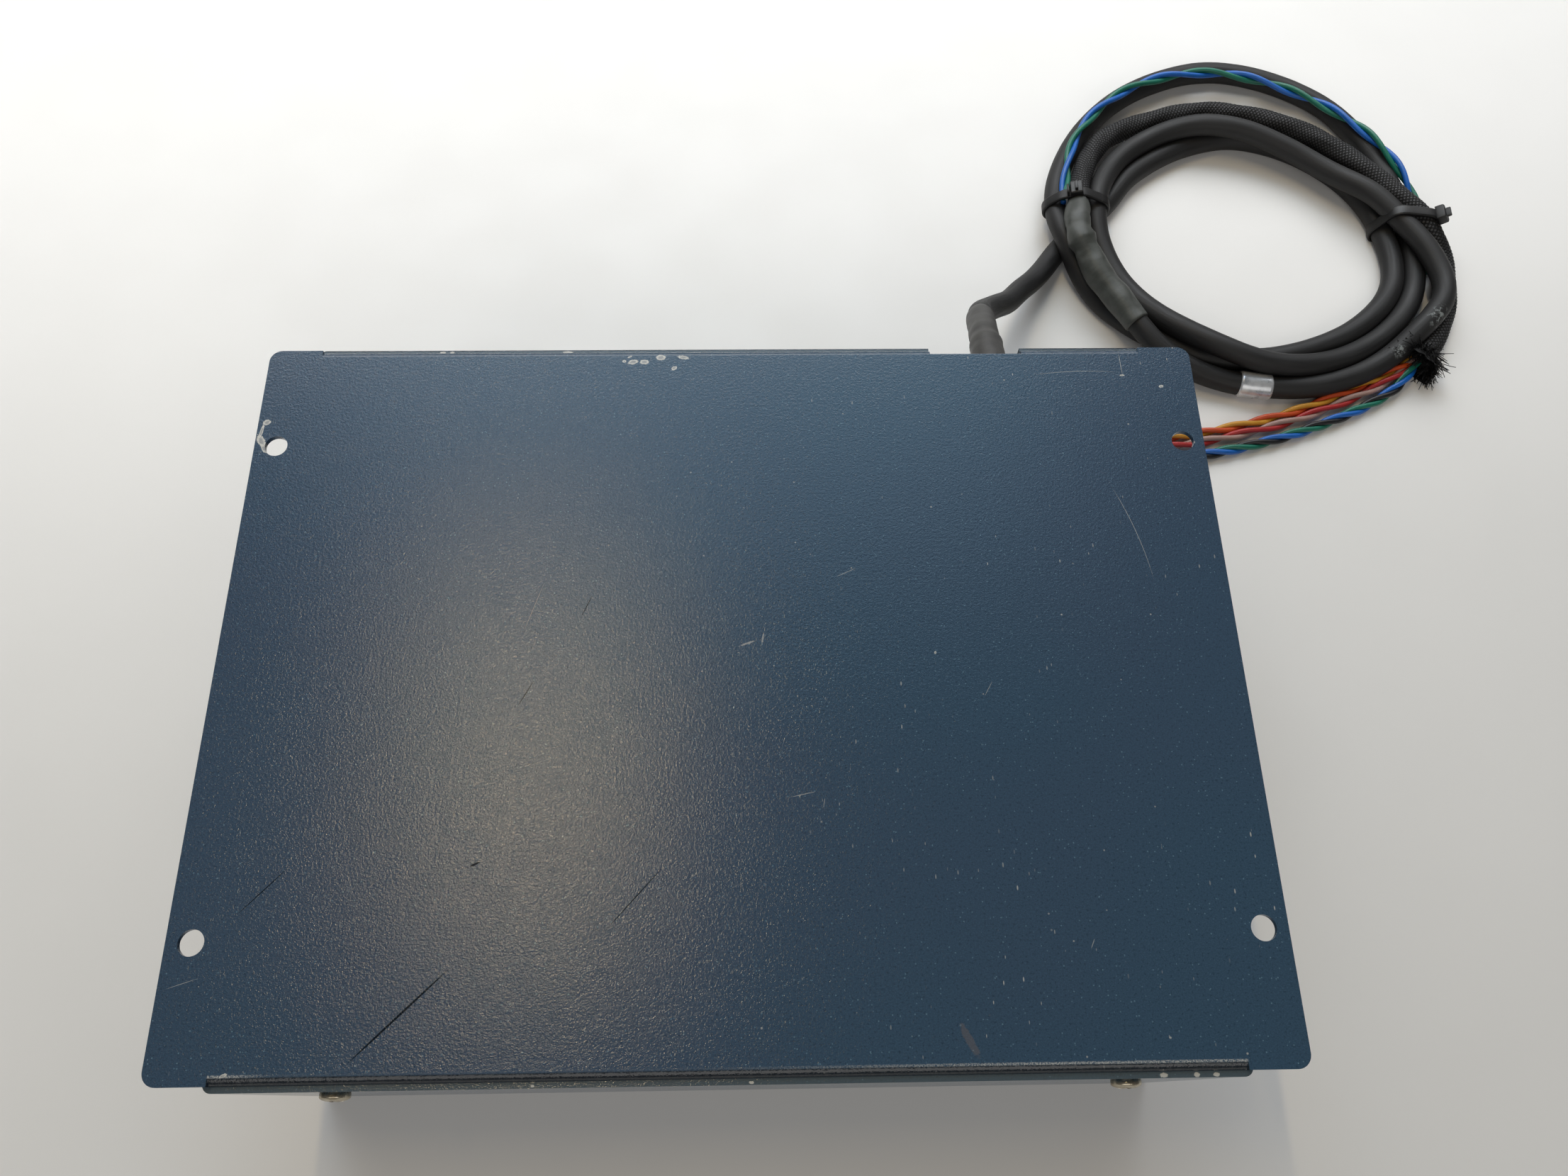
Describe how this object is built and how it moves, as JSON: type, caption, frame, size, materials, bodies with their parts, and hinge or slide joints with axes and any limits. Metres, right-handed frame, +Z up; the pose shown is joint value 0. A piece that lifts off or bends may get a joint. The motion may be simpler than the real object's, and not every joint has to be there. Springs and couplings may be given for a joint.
{
  "type": "servo drive",
  "caption": "Wall-mount servo drive in a folded sheet-metal case with eared back plate, shown lying on its face, with a coiled signal cable.",
  "frame": {"origin": "centre of the drive's footprint at the surface its front cover lies on, without its cable", "axes": "+X along the plate's long side, +Y towards the wall where the cable leaves, +Z up towards the mounting face"},
  "size_m": [0.4716, 0.4505, 0.1],
  "materials": {
    "blue_powder_coat": "semi-gloss powder coat with fine speckle and scratches",
    "plated_screw": "nickel plated, slightly brassy",
    "zinc_steel": "zinc plated",
    "label_film": "satin blank label film",
    "panel_film": "fine textured overlay",
    "aluminium": "extruded, mill finish",
    "black_moulding": "moulded",
    "gold_anodised": "anodised",
    "green_board": "solder mask over glass laminate",
    "brass": "machined",
    "capacitor_sleeve": "shrunk sleeve",
    "copper_winding": "enamelled wire",
    "yellow_film": "taped or boxed film",
    "blue_moulding": "moulded",
    "ceramic": "glazed",
    "green_moulding": "moulded",
    "led_lens": "diffused lens",
    "red_moulding": "moulded",
    "white_moulding": "moulded",
    "orange_moulding": "moulded",
    "grey_ribbon": "soft vinyl",
    "shrink_sleeve": "matt shrunk tubing",
    "cable_jacket": "satin vinyl jacket",
    "black_nylon": "moulded nylon",
    "braid": "woven filament braid",
    "wire_insulation": "coloured vinyl insulation"
  },
  "bodies": {
    "drive": {"back_plate": "blue_powder_coat", "cover": "blue_powder_coat", "cover_screws": "plated_screw", "clinch_nuts": "zinc_steel", "blank_label": "label_film", "front_panel": "panel_film", "panel_screws": "plated_screw", "heatsink": "aluminium", "press_studs": "zinc_steel", "stud_nuts": "zinc_steel", "power_module": "black_moulding", "bridge_rectifier": "black_moulding", "brake_resistor": "gold_anodised", "power_screws": "plated_screw", "power_board": "green_board", "board_standoffs": "brass", "board_screws": "plated_screw", "bus_capacitors": "capacitor_sleeve", "line_choke": "copper_winding", "film_capacitors": "yellow_film", "control_transformer": "yellow_film", "inrush_relay": "blue_moulding", "line_fuse": "ceramic", "fuse_clips": "zinc_steel", "power_terminals": "green_moulding", "terminal_screws": "plated_screw", "control_board": "green_board", "control_standoffs": "brass", "control_chips": "black_moulding", "command_connector": "zinc_steel", "feedback_connector": "zinc_steel", "connector_inserts": "black_moulding", "jack_posts": "plated_screw", "setup_port": "black_moulding", "status_leds": "led_lens", "dip_switch": "red_moulding", "address_switch": "black_moulding", "trimmer_bodies": "blue_moulding", "reset_switch": "black_moulding", "ribbon_cable": "grey_ribbon", "ribbon_headers": "black_moulding", "fan_housing": "black_moulding", "fan_screws": "plated_screw", "cable_clamp": "white_moulding", "inner_leads": "grey_ribbon", "cable_boot": "shrink_sleeve", "cable_lead": "cable_jacket", "cable_coil": "cable_jacket", "coil_ties": "black_nylon", "braided_sleeve": "braid", "signal_wires": "wire_insulation"},
    "fan_rotor": {"fan_rotor": "black_moulding"},
    "reset_button": {"reset_button": "red_moulding"},
    "address_dial": {"address_dial": "orange_moulding"},
    "trimmer_screw_1": {"trimmer_screw_1": "brass"},
    "trimmer_screw_2": {"trimmer_screw_2": "brass"},
    "dip_lever_1": {"dip_lever_1": "white_moulding"},
    "dip_lever_2": {"dip_lever_2": "white_moulding"},
    "dip_lever_3": {"dip_lever_3": "white_moulding"},
    "dip_lever_4": {"dip_lever_4": "white_moulding"}
  },
  "joints": [
    {"name": "fan_spin", "type": "hinge", "parent": "drive", "child": "fan_rotor", "pos_m": [-0.12, 0, 0.06], "axis": [1, 0, 0], "continuous": true},
    {"name": "reset_press", "type": "slide", "parent": "drive", "child": "reset_button", "axis": [0, 0, 1], "range_m": [0, 0.0008], "stiffness_N_per_m": 1500, "springref_m": -0.0003},
    {"name": "address_turn", "type": "hinge", "parent": "drive", "child": "address_dial", "pos_m": [0.052, 0.038, 0.006], "axis": [0, 0, 1], "continuous": true},
    {"name": "trimmer_1_turn", "type": "hinge", "parent": "drive", "child": "trimmer_screw_1", "pos_m": [-0.016, 0.008, 0.006], "axis": [0, 0, 1], "range_deg": [-135, 135]},
    {"name": "trimmer_2_turn", "type": "hinge", "parent": "drive", "child": "trimmer_screw_2", "pos_m": [0, 0.008, 0.006], "axis": [0, 0, 1], "range_deg": [-135, 135]},
    {"name": "dip_1_slide", "type": "slide", "parent": "drive", "child": "dip_lever_1", "axis": [0, 1, 0], "range_m": [0, 0.0024]},
    {"name": "dip_2_slide", "type": "slide", "parent": "drive", "child": "dip_lever_2", "axis": [0, 1, 0], "range_m": [0, 0.0024]},
    {"name": "dip_3_slide", "type": "slide", "parent": "drive", "child": "dip_lever_3", "axis": [0, 1, 0], "range_m": [0, 0.0024]},
    {"name": "dip_4_slide", "type": "slide", "parent": "drive", "child": "dip_lever_4", "axis": [0, 1, 0], "range_m": [0, 0.0024]}
  ]
}
